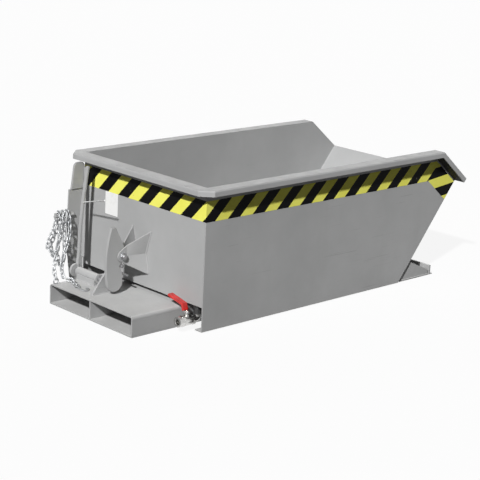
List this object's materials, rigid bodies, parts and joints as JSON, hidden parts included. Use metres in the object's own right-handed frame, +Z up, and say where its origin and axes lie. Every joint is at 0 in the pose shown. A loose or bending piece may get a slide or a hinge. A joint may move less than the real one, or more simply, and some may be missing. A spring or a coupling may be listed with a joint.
{
  "type": "forklift tipping container",
  "caption": "Low tipping container for forklift forks: tub with sloped pouring front on a pocketed base, with gravity hook latch, release lever, safety chain and drain valve.",
  "frame": {"origin": "on the ground under the middle of the overall length and width", "axes": "+X the pouring direction, +Y the left side seen from behind, +Z up"},
  "size_m": [1.776, 0.87, 0.582],
  "materials": {
    "grey_paint": "satin light grey paint",
    "bare_steel": "bare turned steel",
    "zinc_steel": "zinc plated",
    "plated_brass": "nickel plated brass",
    "red_plastic": "red dipped sleeve"
  },
  "bodies": {
    "base": {"bearing_saddle": "grey_paint", "bearing_tube": "grey_paint", "catch_lug": "grey_paint", "catch_pin": "bare_steel", "chain_eye": "zinc_steel", "chain_hook": "zinc_steel", "chain_peg": "grey_paint", "fork_divider": "grey_paint", "fork_floor": "grey_paint", "fork_side_left": "grey_paint", "fork_side_right": "grey_paint", "fork_top": "grey_paint", "hinge_pins": "bare_steel", "nose_back": "grey_paint", "nose_clevises": "grey_paint", "nose_floor": "grey_paint", "nose_front": "grey_paint", "nose_gusset_left": "grey_paint", "nose_gusset_right": "grey_paint", "nose_top": "grey_paint", "post_bracket": "grey_paint", "post_flange": "grey_paint", "post_upper_plate": "grey_paint", "post_web": "grey_paint", "rest_bars": "grey_paint", "safety_chain": "zinc_steel"},
    "tub": {"side_left": "grey_paint", "side_right": "grey_paint", "skirt_flanges": "grey_paint", "rear_wall": "grey_paint", "tub_floor": "grey_paint", "front_plate": "grey_paint", "rim_left": "grey_paint", "rim_right": "grey_paint", "rim_rear": "grey_paint", "rim_corners": "grey_paint", "hinge_lugs": "grey_paint", "hinge_bushes": "bare_steel", "hook_bracket_left": "grey_paint", "hook_bracket_right": "grey_paint", "hook_bolt": "bare_steel", "hook_nut": "bare_steel", "drain_elbow": "plated_brass", "union_nut": "plated_brass", "valve_body": "plated_brass", "valve_gland": "plated_brass"},
    "latch_hook": {"latch_hook": "grey_paint"},
    "release_lever": {"release_shaft": "bare_steel", "release_crank": "grey_paint", "push_pin": "bare_steel", "release_lever": "grey_paint"},
    "drain_handle": {"valve_ball": "plated_brass", "valve_stem": "plated_brass", "valve_handle": "plated_brass", "valve_grip": "red_plastic", "handle_nut": "plated_brass"}
  },
  "joints": [
    {"name": "tub_tip", "type": "hinge", "parent": "base", "child": "tub", "pos_m": [0.612, 0, 0.047], "axis": [0, 1, 0], "range_deg": [0, 65]},
    {"name": "hook_swing", "type": "hinge", "parent": "tub", "child": "latch_hook", "pos_m": [-0.738, 0, 0.242], "axis": [0, 1, 0], "range_deg": [0, 16]},
    {"name": "release_lever", "type": "hinge", "parent": "base", "child": "release_lever", "pos_m": [-0.745, 0, 0.114], "axis": [0, -1, 0], "range_deg": [0, 23]},
    {"name": "drain_valve", "type": "hinge", "parent": "tub", "child": "drain_handle", "pos_m": [-0.662, -0.324, 0.075], "axis": [0, 0, 1], "range_deg": [0, 90]}
  ],
  "couplings": [
    {"joint": "hook_swing", "follows": "release_lever", "ratio": 0.695}
  ]
}
